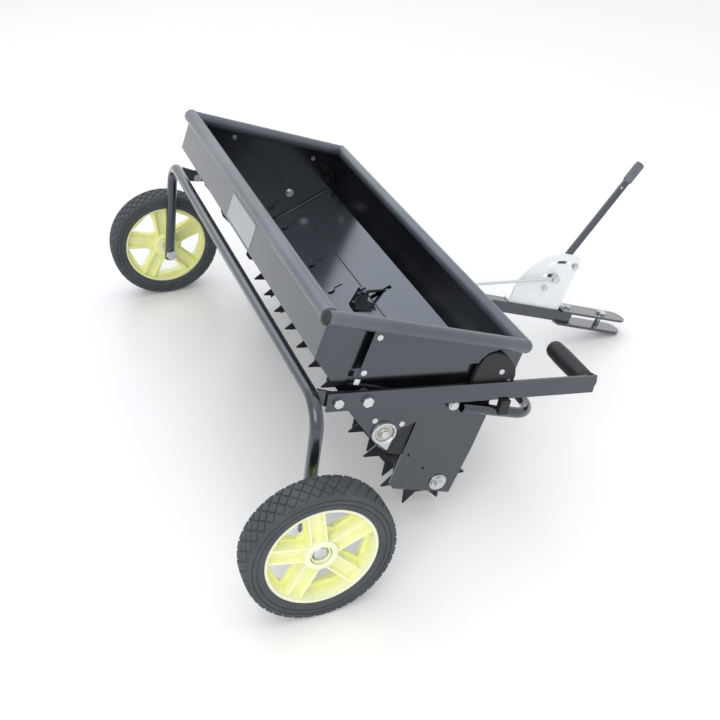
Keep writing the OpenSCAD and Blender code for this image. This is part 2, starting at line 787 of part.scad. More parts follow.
// star shaft, stars, spacers and end bolt
module star_shaft() {
  color(zinc) difference() {
    bar_along(chain_x - 5, plate_out + 3.5, star, star_shaft_d / 2);
    bar_along(plate_out - 25, plate_out + 5, star, 4 + fit);
  }
}
module star_wheel(i) {
  color(paint) difference() {
    across((i - 6) * star_pitch - star_t / 2, star_t) {
      translate(star) union() {
        circle(r = star_root_d / 2);
        for (k = [0:7]) rotate((i == 11 ? last_star_phase : star_phase) + 45 * k) polygon([
          [star_root_d / 2 - 6, -tine_w / 2], [star_d / 2 - 1, -1.5], [star_d / 2, 0],
          [star_d / 2 - 1, 1.5], [star_root_d / 2 - 6, tine_w / 2]
        ]);
      }
    }
    bar_along((i - 6) * star_pitch - 9, (i - 6) * star_pitch + 9, star, star_shaft_d / 2 + fit);
  }
}
module star_wheel_1() { star_wheel(1); }
module star_wheel_2() { star_wheel(2); }
module star_wheel_3() { star_wheel(3); }
module star_wheel_4() { star_wheel(4); }
module star_wheel_5() { star_wheel(5); }
module star_wheel_6() { star_wheel(6); }
module star_wheel_7() { star_wheel(7); }
module star_wheel_8() { star_wheel(8); }
module star_wheel_9() { star_wheel(9); }
module star_wheel_10() { star_wheel(10); }
module star_wheel_11() { star_wheel(11); }
module star_spacers() {
  color(paint) difference() {
    union() {
      for (i = [-5:4]) {
        bar_along(i * star_pitch + star_t / 2, (i + 1) * star_pitch - star_t / 2, star, 12.5);
      }
      bar_along(star_last + star_t / 2, plate_x - 0.5, star, 12.5);
      bar_along(0.5 - plate_x, -star_last - star_t / 2, star, 12.5);
    }
    bar_along(-plate_x - 5, plate_x + 5, star, star_shaft_d / 2 + fit);
  }
}
module star_end_bolt() {
  color(zinc) {
    bar_along(plate_out - 24, plate_out + 6, star, 4);
    bar_along(plate_out + 3.5, plate_out + 5.5, star, 13);
    hex_along(plate_out + 5.5, plate_out + 11, star, 8);
  }
}

// agitator shaft with stirring fingers
module agitator_shaft() {
  color(zinc) difference() {
    bar_along(chain_x - 5, plate_out + 8, agitator, agitator_d / 2);
    for (i = [-5:5]) finger(i, 2.5 + fit, 30);
  }
}
module finger(i, r, h) {
  translate([i * star_pitch, agitator[0], agitator[1]]) {
    rotate([45 + 90 * i, 0, 0]) translate([0, 0, -h / 2]) cylinder(h = h, r = r);
  }
}
module agitator_fingers() {
  color(zinc) for (i = [-5:5]) finger(i, 2.5, 36);
}

// bent tube that carries the two wheels
module frame_run(r, low) {
  bar_along(frame_bend - leg_x, leg_x - frame_bend, [0, 0], r);
  both_sides() {
    translate([leg_x - frame_bend, 0, -frame_bend]) rotate([90, 0, 0]) {
      rotate_extrude(angle = 90) translate([frame_bend, 0]) circle(r = r);
    }
    translate([leg_x, 0, -low]) cylinder(h = low - frame_bend, r = r);
  }
}
module wheel_frame_tube() {
  color(paint) translate([0, cross[0], cross[1]]) rotate([leg_lean, 0, 0]) difference() {
    frame_run(frame_r, leg_len + 15);
    frame_run(frame_r - 2, leg_len + 16);
    both_sides() bar_along(leg_x - 20, leg_x + 20, [0, -leg_len], axle_d / 2 + fit);
  }
}
// arms from the cross tube to the pivots
module pivot_arm() {
  difference() {
    on_bar() across(arm_x, arm_t) {
      union() {
        polygon([
          [-frame_back, frame_above - 12], [-70, -9], [-28, -9], [-28, 15],
          [-60, 16], [-frame_back, frame_above + 10]
        ]);
        polygon([[-30, -14], [0, -14], [0, 14], [-30, 14]]);
        circle(r = 14);
      }
    }
    bar_along(arm_x - 1, arm_x + arm_t + 1, cross, frame_r + bend_drop + 0.1);
    bar_along(arm_x - 1, arm_x + arm_t + 1, pivot, pivot_d / 2 + fit);
    bar_along(arm_x - 1, arm_x + arm_t + 1, arm_bolt, 5 + fit);
  }
}
module pivot_arm_right() {
  color(paint) pivot_arm();
}
module pivot_arm_left() {
  color(paint) mirror([1, 0, 0]) pivot_arm();
}
// flat bar that lifts the wheels
module lift_lever() {
  color(paint) difference() {
    on_bar() translate([bar_x, -69, -bar_w / 2]) cube([bar_t, bar_reach + 69, bar_w]);
    bar_along(bar_x - 1, bar_x + bar_t + 1, pivot, pivot_d / 2 + fit);
    bar_along(bar_x - 1, bar_x + bar_t + 1, arm_bolt, 5 + fit);
  }
}
module lever_grip() {
  color(rubber) on_bar() {
    bar_along(bar_x - grip_len, bar_x, [bar_reach - grip_d / 2 - 2, 0], grip_d / 2);
  }
}
// bolts through the arms and the bar
module arm_bolts() {
  color(zinc) {
    bar_along(arm_x - 5, bar_x + bar_t + 1, arm_bolt, 5);
    hex_along(arm_x - 5.5, arm_x, arm_bolt, 9);
    hex_along(bar_x + bar_t, bar_x + bar_t + 6, arm_bolt, 9);
    mirror([1, 0, 0]) {
      bar_along(arm_x - 5, bar_x + 1, arm_bolt, 5);
      hex_along(arm_x - 5.5, arm_x, arm_bolt, 9);
      hex_along(bar_x, bar_x + 6, arm_bolt, 9);
    }
  }
}
// axle bolts with their spacers and nuts
module axle_bolts() {
  color(zinc) both_sides() {
    bar_along(leg_x - frame_r - 7, hub_out + 7, axle, axle_d / 2);
    hex_along(leg_x - frame_r - 8, leg_x - frame_r, axle, 11);
    bar_along(leg_x + frame_r, hub_in - slack, axle, 10);
    hex_along(hub_out + slack, hub_out + 7, axle, 10);
  }
}

// wheel: tyre, plastic wheel and hub cap, drawn along X
module tyre() {
  half = tyre_w / 2;
  out = tyre_d / 2;
  in = rim_wheel_d / 2;
  translate([wheel_x, axle[0], axle[1]]) rotate([0, 90, 0]) rotate_extrude() polygon([
    [in, -half + 3], [in + 6, -half], [out - 6, -half], [out - 2.5, -half + 2.5],
    [out, -half + 9], [out, half - 9], [out - 2.5, half - 2.5], [out - 6, half],
    [in + 6, half], [in, half - 3]
  ]);
}
// a web with windows, a hub with a sunk nut seat, and five channel spokes
module wheel_disc() {
  lip = tyre_w / 2 - 4;
  out = rim_wheel_d / 2 - fit;
  in = out - wheel_wall;
  bore = axle_d / 2 + fit;
  difference() {
    union() {
      translate([wheel_x, axle[0], axle[1]]) rotate([0, 90, 0]) rotate_extrude() polygon([
        [bore, -28], [24, -28], [28, -24], [28, -10], [in, -10], [in, -lip], [out, -lip], [out, lip],
        [in, lip], [in, -4], [28, -4], [28, hub_face - 2], [26, hub_face], [19, hub_face],
        [19, nut_seat], [bore, nut_seat]
      ]);
      for (i = [0:4]) wheel_part(i) wheel_spoke(in + wheel_wall / 2);
    }
    for (i = [0:4]) wheel_part(i + 0.5) wheel_window(out);
  }
}
// the floor of a spoke and the two ribs along its edges, deep on both sides
module wheel_spoke(tip) {
  rib = 3;
  gap = spoke_w - rib;
  start = 23;
  translate([start + 0.5, -gap / 2, -9]) cube([tip - start - 1, gap, 15]);
  for (side = [-1, 1]) translate([start, side * gap / 2 - rib / 2, -18]) cube([tip - start, rib, 35]);
}
// one of five turns about the axle: X out to the rim, Z along the axle
module wheel_part(i) {
  translate([wheel_x, axle[0], axle[1]]) rotate([0, 90, 0]) rotate([0, 0, wheel_turn + 72 * i]) children();
}
module wheel_window(out) {
  translate([0, 0, -20]) linear_extrude(40) polygon([
    [out - 55, -9], [out - 14, -32], [out - 14, 32], [out - 55, 9]
  ]);
}
module hub_cap() {
  difference() {
    union() {
      bar_along(hub_out, hub_out + 8, axle, 17);
      bar_along(hub_out + 8, hub_out + 10, axle, 14);
    }
    bar_along(hub_out - 1, hub_out + 7.5, axle, 12);
  }
}
module tyre_right() {
  color(rubber) tyre();
}
module tyre_left() {
  color(rubber) mirror([1, 0, 0]) tyre();
}
module wheel_right() {
  color(lime) wheel_disc();
}
module wheel_left() {
  color(lime) mirror([1, 0, 0]) wheel_disc();
}
module cap_right() {
  color(lime) hub_cap();
}
module cap_left() {
  color(lime) mirror([1, 0, 0]) hub_cap();
}

rested() hopper_body();
rested() end_panel_right();
rested() end_panel_left();
rested() side_plate_right();
rested() side_plate_left();
rested() agitator_bearings();
rested() star_bushings();
rested() front_tube();
rested() tongue();
rested() hitch_strap_upper();
rested() hitch_strap_lower();
rested() flow_quadrant();
rested() lever_rest();
rested() hopper_rivets();
rested() frame_bolts();
rested() hitch_bolts();
rested() quadrant_bolts();
rested() shutter_studs();
rested() drive_chain();
rested() pivot_bolts();
rested() flow_lever();
rested() flow_grip();
rested() rod_pin();
rested() flow_rod();
rested() shutter();
rested() shutter_pin();
rested() stop_bolt();
rested() hitch_pin();
rested() star_shaft();
rested() star_wheel_1();
rested() star_wheel_2();
rested() star_wheel_3();
rested() star_wheel_4();
rested() star_wheel_5();
rested() star_wheel_6();
rested() star_wheel_7();
rested() star_wheel_8();
rested() star_wheel_9();
rested() star_wheel_10();
rested() star_wheel_11();
rested() star_spacers();
rested() star_sprocket();
rested() star_end_bolt();
rested() agitator_shaft();
rested() agitator_fingers();
rested() agitator_sprocket();
rested() wheel_frame_tube();
rested() pivot_arm_right();
rested() pivot_arm_left();
rested() lift_lever();
rested() lever_grip();
rested() arm_bolts();
rested() axle_bolts();
rested() tyre_right();
rested() wheel_right();
rested() cap_right();
rested() tyre_left();
rested() wheel_left();
rested() cap_left();
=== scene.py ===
# %% [markdown]
# # A tow-behind spiker aerator with a seed hopper
# The machine is a bent sheet-steel hopper on a lift frame with two wheels, a
# reel of star wheels below it and a drawbar in front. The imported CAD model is
# the fixed frame. Every cell adds finishes or finer pieces around it, in metres
# and in the same place, so nothing has to be fitted by eye.

import json
import math

import bmesh
import bpy
from mathutils import Matrix, Vector


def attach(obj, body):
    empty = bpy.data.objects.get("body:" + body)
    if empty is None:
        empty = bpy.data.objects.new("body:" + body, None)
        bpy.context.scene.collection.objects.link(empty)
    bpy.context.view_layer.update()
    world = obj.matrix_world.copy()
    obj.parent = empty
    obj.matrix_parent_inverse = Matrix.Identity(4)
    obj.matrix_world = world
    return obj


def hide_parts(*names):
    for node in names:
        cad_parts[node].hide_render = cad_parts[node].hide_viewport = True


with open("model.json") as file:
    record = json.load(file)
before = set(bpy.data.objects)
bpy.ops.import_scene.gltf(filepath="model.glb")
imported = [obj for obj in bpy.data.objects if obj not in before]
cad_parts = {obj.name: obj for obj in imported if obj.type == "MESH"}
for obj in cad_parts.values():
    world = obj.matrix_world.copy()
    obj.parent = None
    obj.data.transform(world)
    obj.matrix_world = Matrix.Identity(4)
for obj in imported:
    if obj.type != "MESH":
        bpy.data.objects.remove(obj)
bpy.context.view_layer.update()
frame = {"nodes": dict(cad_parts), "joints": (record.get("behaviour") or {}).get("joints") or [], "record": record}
scene = bpy.context.scene

# %% [markdown]
# The machine rests nose-down on its wheels and hitch, so nothing in it is level.
# It is easier to model it upright, in millimetres, with the middle of the hopper
# rim at zero, and to tip each piece at the end. The matrix for that comes from
# the frame itself: the hitch pin lifts straight up in the machine, and the lift
# pivot is a known point of it.

# %% Machine frame
joints = {joint["name"]: joint for joint in frame["joints"]}
pin_up = Vector(joints["hitch_pin_lift"]["axis"])
tip = Matrix.Rotation(-math.atan2(pin_up.y, pin_up.z), 4, "X")
pivot_mm = Vector((0, -80, -128.2))
pivot_row = Vector(joints["lift"]["pos_m"])
rest = Matrix.Translation(pivot_row - tip @ (pivot_mm / 1000)) @ tip
to_row = rest @ Matrix.Scale(0.001, 4)


def machine_point(joint):
    """Centre of a joint in the machine's own frame, in millimetres."""
    return to_row.inverted() @ Vector(joints[joint]["pos_m"])


axle = machine_point("right_wheel_spin")
print("machine tipped", round(math.degrees(math.atan2(pin_up.y, pin_up.z)), 2), "degrees")

# %% [markdown]
# The camera stands behind the machine's right rear corner and looks down at it.
# Its place was solved from the straight edges and the round wheels of the
# photograph. Three unit vectors give its right, down and viewing directions.

# %% Camera
camera_data = bpy.data.cameras.new("camera")
camera_data.sensor_width = 36
camera_data.lens = 52.67
camera = bpy.data.objects.new("camera", camera_data)
scene.collection.objects.link(camera)
look_right = Vector((0.36106434, 0.93250014, 0.00872002))
look_down = Vector((0.52145114, -0.19413607, -0.83090306))
look_along = Vector((-0.77312434, 0.30455653, -0.55634887))
camera_at = Vector((1.71275618, -0.79175946, 1.29863964))
look = Matrix((look_right, -look_down, -look_along)).transposed().to_4x4()
camera.matrix_world = Matrix.Translation(camera_at) @ look
scene.camera = camera
scene.view_settings.view_transform = "Standard"
print("camera at", [round(v, 3) for v in camera.location])

# %% [markdown]
# A few small helpers serve every finish. One turns a hex colour, as a paint chart
# gives it, into the linear values that Blender computes with. Another adds a node,
# sets its properties and fills its sockets with values or links, which keeps each
# material readable as a list of what its surface does.

# %% Material helpers
def paint_code(code):
    """Linear RGBA of an sRGB hex colour."""
    parts = [int(code[i:i + 2], 16) / 255 for i in (1, 3, 5)]
    return [c / 12.92 if c <= 0.04045 else ((c + 0.055) / 1.055) ** 2.4 for c in parts] + [1]


def fill(tree, node, sockets):
    """Sets each socket of a node to its value, or links it to another node's output."""
    for name, value in sockets.items():
        if isinstance(value, bpy.types.NodeSocket):
            tree.links.new(value, node.inputs[name])
        else:
            node.inputs[name].default_value = value


def add(tree, kind, sockets=None, **settings):
    """Adds a node: settings are its properties, sockets its values or links."""
    node = tree.nodes.new(kind)
    for name, value in settings.items():
        setattr(node, name, value)
    fill(tree, node, sockets or {})
    return node


def new_finish(name):
    """A material with its shader, and the object coordinates in metres."""
    material = bpy.data.materials.new(name)
    material.use_nodes = True
    tree = material.node_tree
    place = add(tree, "ShaderNodeTexCoord").outputs["Object"]
    return material, tree, tree.nodes["Principled BSDF"], place


print("paint code #808080 is", round(paint_code("#808080")[0], 3), "in linear light")

# %% [markdown]
# The finishes share a few patterns: cloudy noise of a real size, a ramp that
# stretches a pattern to the range wanted, a blend of two paints, simple sums, and
# dents, which change how light falls on a surface without moving it.

# %% Pattern helpers
def per_mm(size):
    """Texture scale at which one cell of a pattern measures size millimetres."""
    return 1000 / size


def noise(tree, place, size_mm, detail, **more):
    """Cloudy noise from 0 to 1, with clouds of a size in millimetres."""
    sockets = {"Vector": place, "Scale": per_mm(size_mm), "Detail": detail, **more}
    return add(tree, "ShaderNodeTexNoise", sockets).outputs["Fac"]


def ramp(tree, value, start, end, low=0, high=1):
    """Stretches the values between start and end to low and high, and holds them beyond."""
    return add(tree, "ShaderNodeMapRange", {"Value": value, "From Min": start, "From Max": end,
                                            "To Min": low, "To Max": high}).outputs[0]


def blend(tree, share, first, second):
    """A colour between two paints; a share of 1 is the second."""
    return add(tree, "ShaderNodeMix", {0: share, 6: paint_code(first), 7: paint_code(second)},
               data_type="RGBA").outputs[2]


def maths(tree, operation, *values, clamp=False):
    """One operation on values or links."""
    return add(tree, "ShaderNodeMath", dict(enumerate(values)), operation=operation,
               use_clamp=clamp).outputs[0]


def dents(tree, height, strength, depth_m, over=None):
    """Dents along a height pattern, on top of other dents if there are any."""
    sockets = {"Height": height, "Strength": strength, "Distance": depth_m}
    if over is not None:
        sockets["Normal"] = over
    return add(tree, "ShaderNodeBump", sockets).outputs[0]


print("a 4 mm pattern has the scale", per_mm(4))

# %% [markdown]
# ** Black enamel** on sheet steel and tube. The paint is sprayed and baked: nearly
# black, under a hard clear skin that mirrors the white room. The eye reads it from
# its reflections, so they get the work: a slow waviness of pressed sheet, a fine
# orange peel, and a roughness that drifts where hands and dust have been. A second
# gloss layer, the coat, stands for the clear skin. The real peel is about 1 mm
# wide, too fine for this picture, so it is drawn at 4 mm. The rim is painted a paler
# blue-grey, a painted highlight for the soft sheen along the rolled rim, and the
# stars have one thin, duller coat.

# %% Black enamel
def black_enamel(name, wave_mm, wave_depth_m, dust, gloss, dark="#0b0c0e", pale="#1d1e21", skin=1):
    material, tree, shader, place = new_finish(name)
    cloud = noise(tree, place, 180, 4, Roughness=0.5)
    film = ramp(tree, cloud, 0.4, 0.7, 0, dust)
    wave = dents(tree, noise(tree, place, wave_mm, 1), 0.3, wave_depth_m)
    peel = dents(tree, noise(tree, place, 4, 2), 0.08, 0.0001, over=wave)
    fill(tree, shader, {
        "Base Color": blend(tree, film, dark, pale),
        "Roughness": ramp(tree, cloud, 0.3, 0.7, gloss, gloss + 0.1),
        "Normal": peel,
        "Specular IOR Level": skin,
        "Specular Tint": paint_code("#d0ddf0"),
        "Coat Weight": 0.85 * skin,
        "Coat Roughness": gloss,
    })
    return material


enamel = black_enamel("black_enamel_on_sheet", 160, 0.0008, dust=0.8, gloss=0.15)
tube_enamel = black_enamel("black_enamel_on_tube", 60, 0.0002, dust=0.6, gloss=0.15)
# The rim's pale blue-grey paint is a painted highlight for the soft sheen on the rolled rim.
rim_enamel_painted_highlight = black_enamel("enamel_on_rim_with_painted_highlight", 60, 0.0002, dust=1, gloss=0.34,
                          dark="#484d55", pale="#60666e", skin=0.7)
star_enamel = black_enamel("thin_enamel_on_stars", 60, 0.0002, dust=0.6, gloss=0.3, skin=0.4)
print("enamel finishes:", enamel.name, tube_enamel.name, rim_enamel_painted_highlight.name, star_enamel.name)

# %% [markdown]
# **Bright zinc plate** covers the bolts, pins and shafts: a metal, a little blue,
# with soft blotches where the bath took differently. The flow quadrant is cut
# from **galvanised sheet**, where the zinc froze in flat crystals, the spangle,
# 8 mm across. Voronoi cells draw those crystals, each with its own grey and gloss,
# and close in tone, because new zinc is bright all over. The agitator turns in
# bushes of **sintered bronze**, dull with oil.

# %% Zinc finishes
def zinc_plate(name, light, dark, blotch_mm, low, high):
    material, tree, shader, place = new_finish(name)
    blotch = noise(tree, place, blotch_mm, 4)
    grit = noise(tree, place, 1.2, 2)
    fill(tree, shader, {
        "Base Color": blend(tree, blotch, dark, light),
        "Roughness": ramp(tree, blotch, 0.3, 0.7, low, high),
        "Normal": dents(tree, grit, 0.15, 0.0001),
        "Metallic": 1,
    })
    return material


zinc = zinc_plate("bright_zinc_plate", "#e4e6e8", "#b4b8bd", 6, 0.22, 0.4)
chain_steel = zinc_plate("oiled_chain_steel", "#8d8a84", "#55524d", 4, 0.3, 0.5)
bronze = zinc_plate("oiled_sintered_bronze", "#d9d9d2", "#a3a29a", 3, 0.35, 0.55)

galvanised, tree, shader, place = new_finish("galvanised_spangle_sheet")
crystal = add(tree, "ShaderNodeTexVoronoi", {"Vector": place, "Scale": per_mm(8)})
grey = add(tree, "ShaderNodeSeparateColor", {"Color": crystal.outputs["Color"]})
fill(tree, shader, {
    "Base Color": blend(tree, grey.outputs[0], "#f1f4f5", "#f7f9fa"),
    "Roughness": ramp(tree, grey.outputs[1], 0, 1, 0.34, 0.4),
    "Metallic": 0.1,
})
print("metal finishes:", zinc.name, chain_steel.name, bronze.name, galvanised.name)

# %% [markdown]
# Two finishes are zinc in one place and black in another: the flow rod's rear end
# is dipped in vinyl, and the nuts inside the front corners were painted with the
# hopper. A mask made from the coordinates parts them.

# %% Part-coated zinc
def part_coated(name, mask_of):
    """Zinc with a black coat where the mask, made from the coordinates, is 1."""
    material, tree, shader, place = new_finish(name)
    mask = mask_of(tree, add(tree, "ShaderNodeSeparateXYZ", {0: place}))
    fill(tree, shader, {
        "Base Color": blend(tree, mask, "#ccd0d4", "#101113"),
        "Metallic": maths(tree, "SUBTRACT", 1, mask),
        "Roughness": 0.36,
    })
    return material


def rear_end(tree, at):
    """The rod behind the hopper's slope."""
    behind = to_row @ Vector((0, 150, -129))
    return maths(tree, "LESS_THAN", at.outputs[1], behind.y)


def corner_nuts(tree, at):
    """The nuts inside the hopper's front corners."""
    end_wall_m = 0.4382
    before = to_row @ Vector((0, 128, -92))
    inside = maths(tree, "LESS_THAN", maths(tree, "ABSOLUTE", at.outputs[0]), end_wall_m)
    front = maths(tree, "GREATER_THAN", at.outputs[1], before.y)
    return maths(tree, "MULTIPLY", inside, front)


rod_zinc = part_coated("zinc_rod_with_dipped_end", rear_end)
nut_zinc = part_coated("zinc_bolts_with_painted_nuts", corner_nuts)
print("part-coated finishes:", rod_zinc.name, nut_zinc.name)

# %% [markdown]
# **Rubber** comes three times: the tyres are filled rubber, dusty charcoal with
# almost no gloss, the lift grip is dipped vinyl, smoother and blacker, and the flow
# grip is a lighter grey. All get a fine mould grain, drawn at 2 mm so that it shows.

# %% Rubber finishes
def moulded_rubber(name, base, bloom, low, high, level):
    material, tree, shader, place = new_finish(name)
    cloud = noise(tree, place, 45, 6, Roughness=0.65)
    grain = noise(tree, place, 2, 3)
    fill(tree, shader, {
        "Base Color": blend(tree, ramp(tree, cloud, 0.35, 0.7), base, bloom),
        "Roughness": ramp(tree, cloud, 0.3, 0.7, low, high),
        "Normal": dents(tree, grain, 0.3, 0.0003),
        "Specular IOR Level": level,
    })
    return material


tyre_rubber = moulded_rubber("tyre_rubber", "#404347", "#4f5357", 0.62, 0.8, 0.45)
vinyl = moulded_rubber("dipped_vinyl_grip", "#17181a", "#232427", 0.42, 0.58, 0.5)
grip_grey = moulded_rubber("moulded_grip_grey", "#63676d", "#74787e", 0.45, 0.6, 0.5)
print("rubber finishes:", tyre_rubber.name, vinyl.name, grip_grey.name)

# %% [markdown]
# ** Lime plastic**: the wheels are moulded from natural polypropylene with a lime
# dye. Light goes some millimetres into it, so thin lips look paler and the thick
# middle glows a deeper yellow. Subsurface scattering gives the glow, and a painted
# glow and shade add to it: the colour deepens with how far a point lies in from the
# lip, read along the axle, so the inner faces are painted a deeper yellow than the
# outer faces, and it stays in place when the wheel turns. Faint flow marks vary
# colour and gloss.

# %% Lime plastic
lime, tree, shader, place = new_finish("translucent_lime_polypropylene")
lip_m, painted_glow_depth_m = axle.x / 1000 + 0.021, 0.024
flow = noise(tree, place, 40, 3, Distortion=0.8)
at = add(tree, "ShaderNodeSeparateXYZ", {0: place})
# Painted glow and shade: the colour turns a deeper yellow inward from the lip.
outward = ramp(tree, maths(tree, "ABSOLUTE", at.outputs[0]), lip_m - painted_glow_depth_m, lip_m)
marks = maths(tree, "MULTIPLY_ADD", flow, 0.5, -0.25)
fill(tree, shader, {
    "Base Color": blend(tree, maths(tree, "ADD", outward, marks, clamp=True), "#f8fbb8", "#f9fcd8"),
    "Roughness": ramp(tree, flow, 0.3, 0.7, 0.28, 0.42),
    "Subsurface Weight": 0.5,
    "Subsurface Radius": (1.0, 0.95, 0.35),
    "Subsurface Scale": 0.006,
    "IOR": 1.49,
})
print("plastic finish:", lime.name)

# %% [markdown]
# Most CAD nodes already have the right shape. They keep it, and get a finish and
# a small rounded edge, because no folded sheet or sawn bar has a knife edge and
# the light line along an edge is what makes steel look solid. Weld joins the
# loose triangles first, and Bevel then rounds only the sharp corners. The large flat
# plates keep their sheared edges, because a bevel would crease them between holes.

# %% Dress the CAD nodes
finish_of_slot = {"black_paint": enamel, "zinc_steel": zinc, "rubber_grip": vinyl,
                  "tyre_rubber": tyre_rubber, "lime_plastic": lime}
slot_of_node = {part["node"]: part["material_slot"] for part in frame["record"]["subparts"]}
tubes = ("front_tube", "wheel_frame_tube", "tongue", "star_spacers")
edge_mm = {"end_panel_right": 0.4, "end_panel_left": 0.4, "hopper_rivets": 0.7,
           "agitator_fingers": 0.8, "wheel_right": 1.2, "wheel_left": 1.2, "lever_rest": 1.5,
           "flow_rod": 0.8}
plain_edge_mm = 0.6
in_hopper = ("shutter_pin", "shutter", "shutter_studs")
sheared = ("hopper_body", "shutter", "side_plate_right", "side_plate_left", "pivot_arm_right",
           "pivot_arm_left", "lift_lever", "flow_lever")
for name, node in frame["nodes"].items():
    node.data.materials.clear()
    finish = finish_of_slot[slot_of_node[name]]
    if name in tubes:
        finish = tube_enamel
    elif name in in_hopper:
        finish = enamel
    elif name.startswith("star_wheel"):
        finish = star_enamel
    node.data.materials.append(finish)
    if name in sheared:
        continue
    weld = node.modifiers.new("weld", "WELD")
    weld.merge_threshold = 0.00001
    edge = node.modifiers.new("rounded_edge", "BEVEL")
    edge.width = edge_mm.get(name, plain_edge_mm) / 1000
    edge.segments = 2
    edge.limit_method = "ANGLE"
    edge.angle_limit = math.radians(40)
    edge.harden_normals = True
frame["nodes"]["flow_quadrant"].data.materials[0] = galvanised
frame["nodes"]["flow_rod"].data.materials[0] = rod_zinc
frame["nodes"]["frame_bolts"].data.materials[0] = nut_zinc
print("finished", len(frame["nodes"]), "nodes")

# %% [markdown]
# New pieces are drawn in the machine's frame and put in place by one helper. It
# tips the mesh, so the object itself stays at the origin, shades it smooth up to
# sharp corners, hangs it on the body that carries it and hides the CAD nodes it
# stands for.
# The rest are a small workshop: a lathe that turns a half profile about the X axis,
# a block between two corners, a file for edges, a press that pulls a flat outline out
# to a solid, two ways to set a piece in place, and a matrix for a leaning part.

# %% Piece helpers
def put(name, bm, finish, body, stands_for=(), sharp=40):
    """Makes a piece from a bmesh drawn in the machine's frame, in millimetres."""
    bmesh.ops.transform(bm, matrix=to_row, verts=bm.verts)
    mesh = bpy.data.meshes.new(name)
    bm.to_mesh(mesh)
    bm.free()
    mesh.shade_smooth()
    mesh.set_sharp_from_angle(angle=math.radians(sharp))
    mesh.materials.append(finish)
    obj = bpy.data.objects.new(name, mesh)
    scene.collection.objects.link(obj)
    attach(obj, body)
    if stands_for:
        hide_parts(*stands_for)
    print(name, "rides", body, "with", len(mesh.polygons), "faces")
    return obj


def turned(bm, profile, steps, closed=False):
    """Turns points (x along the axle, radius) about the X axis; returns the new verts."""
    known = set(bm.verts)
    line = [bm.verts.new((x, 0, r)) for x, r in profile]
    pairs = list(zip(line, line[1:] + line[:1])) if closed else list(zip(line, line[1:]))
    edges = [bm.edges.new(pair) for pair in pairs]
    bmesh.ops.spin(bm, geom=line + edges, cent=(0, 0, 0), axis=(1, 0, 0), steps=steps,
                   angle=2 * math.pi, use_merge=True)
    bmesh.ops.remove_doubles(bm, verts=[v for v in bm.verts if v not in known], dist=0.001)
    return [v for v in bm.verts if v not in known]


def block(bm, low, high):
    """A box between two corners; returns its verts."""
    low, high = Vector(low), Vector(high)
    verts = bmesh.ops.create_cube(bm, size=1)["verts"]
    bmesh.ops.scale(bm, vec=high - low, verts=verts)
    bmesh.ops.translate(bm, vec=(low + high) / 2, verts=verts)
    return verts


def round_edges(bm, edges, width, steps):
    """Rounds some edges to a radius of about width."""
    bmesh.ops.bevel(bm, geom=edges, offset=width, segments=steps, profile=0.5, affect="EDGES",
                    material=-1)


def soften(bm, verts, width, steps=2):
    """Rounds the sharp edges among some verts."""
    chosen, sharp = set(verts), math.radians(35)
    edges = [e for e in bm.edges if chosen.issuperset(e.verts) and e.calc_face_angle(0) > sharp]
    round_edges(bm, edges, width, steps)


def pulled(bm, faces):
    """Extrudes flat faces; returns the new verts, which still have to be moved."""
    grown = bmesh.ops.extrude_face_region(bm, geom=faces)["geom"]
    return [v for v in grown if isinstance(v, bmesh.types.BMVert)]


def lay(bm, matrix):
    """Moves a whole piece and turns its faces out."""
    bmesh.ops.transform(bm, matrix=matrix, verts=bm.verts)
    bmesh.ops.recalc_face_normals(bm, faces=bm.faces)


def settle(bm, side, centre):
    """Mirrors a piece for the left side, puts it on its centre and turns its faces out."""
    place = Matrix.Translation((side * centre[0], centre[1], centre[2]))
    lay(bm, place @ Matrix.Diagonal((side, 1, 1, 1)))


def leaning(y, z, degrees):
    """Frame of a part that leans: Y along it from the point (y, z), Z across it."""
    return Matrix.Translation((0, y, z)) @ Matrix.Rotation(math.radians(degrees), 4, "X")


sides = (("right", 1), ("left", -1))
print("axle in the machine frame", [round(v, 1) for v in axle])

# %% [markdown]
# The **tyres** are semi-pneumatic: a smooth carcass with two moulded rings on the
# sidewall and a diamond tread. The carcass is a turned profile. One tread block
# is a low four-sided frustum, drawn flat, and its copies are wrapped round the
# crown in staggered rows, which leaves the crossing grooves between them.

# %% Tyres
tyre_r, tyre_half, seat_r = 127, 27, 95
carcass = [(3 - tyre_half, seat_r), (0.6 - tyre_half, seat_r + 2.5), (-tyre_half, seat_r + 6)]
for ring_r in (107, 115):
    carcass += [(-tyre_half, ring_r - 1.2), (1.4 - tyre_half, ring_r - 0.5),
                (1.4 - tyre_half, ring_r + 0.5), (-tyre_half, ring_r + 1.2)]
shoulder = len(carcass) - 1
carcass += [(0.2 - tyre_half, 119.5), (1.6 - tyre_half, 122.6), (5 - tyre_half, 124.2),
            (-12, 124.8), (0, 125)]
carcass += [(-x, r) for x, r in reversed(carcass[:-1])]
row_step, blocks, block_half, block_rise, block_taper, edge_keep = 12.6, 40, 11.5, 2.1, 0.86, 1.2
rows = [row_step * k for k in (-2, -1, 0, 1, 2)]


def crown_radius(x):
    """Radius of the carcass under a tread block."""
    line = carcass[shoulder:-shoulder]
    for (x0, r0), (x1, r1) in zip(line, line[1:]):
        if x0 <= x <= x1:
            return r0 + (r1 - r0) * (x - x0) / (x1 - x0)
    return line[0][1]


